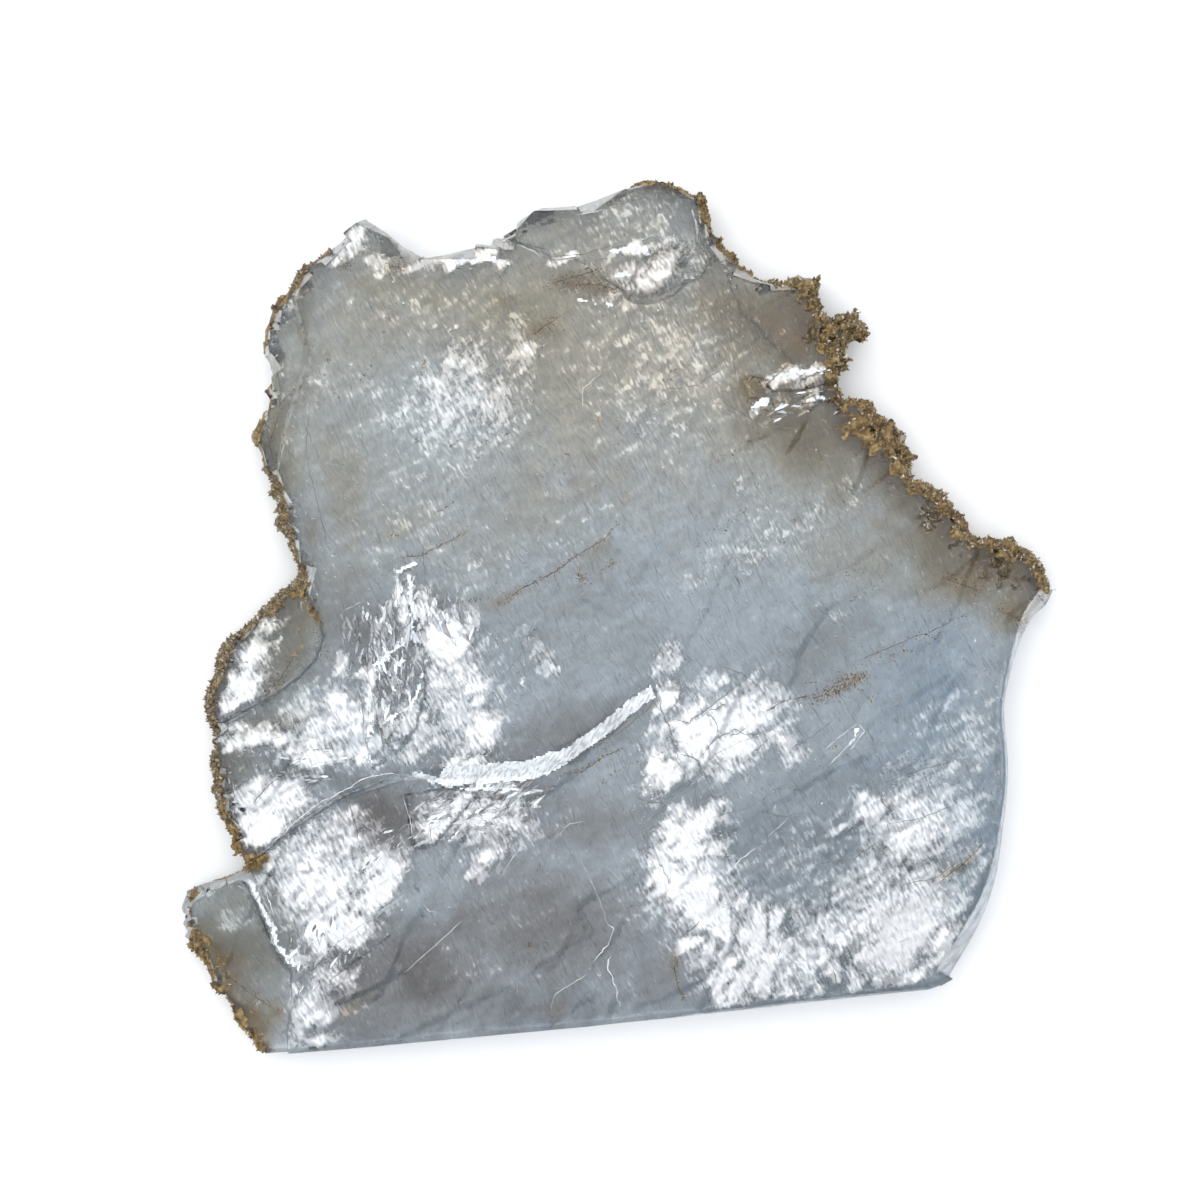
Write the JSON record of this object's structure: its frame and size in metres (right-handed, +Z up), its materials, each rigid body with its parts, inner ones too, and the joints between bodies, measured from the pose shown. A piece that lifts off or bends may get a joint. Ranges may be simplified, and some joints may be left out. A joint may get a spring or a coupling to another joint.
{
  "type": "selenite slab",
  "caption": "Broad flat slab of clear layered selenite with white fractures inside, a ground side, a sawn side and rough tan crust on its other edges.",
  "frame": {"origin": "centre of the slab's bounding box in plan, at the height of the back face it lies on", "axes": "+Z up out of the front face, +Y towards the end with the two peaks, away from the sawn edge, +X towards the smooth ground edge"},
  "size_m": [0.2646, 0.2634, 0.0211],
  "materials": {
    "selenite": "satin"
  },
  "bodies": {
    "root": {"selenite_slab": "selenite"}
  },
  "joints": []
}
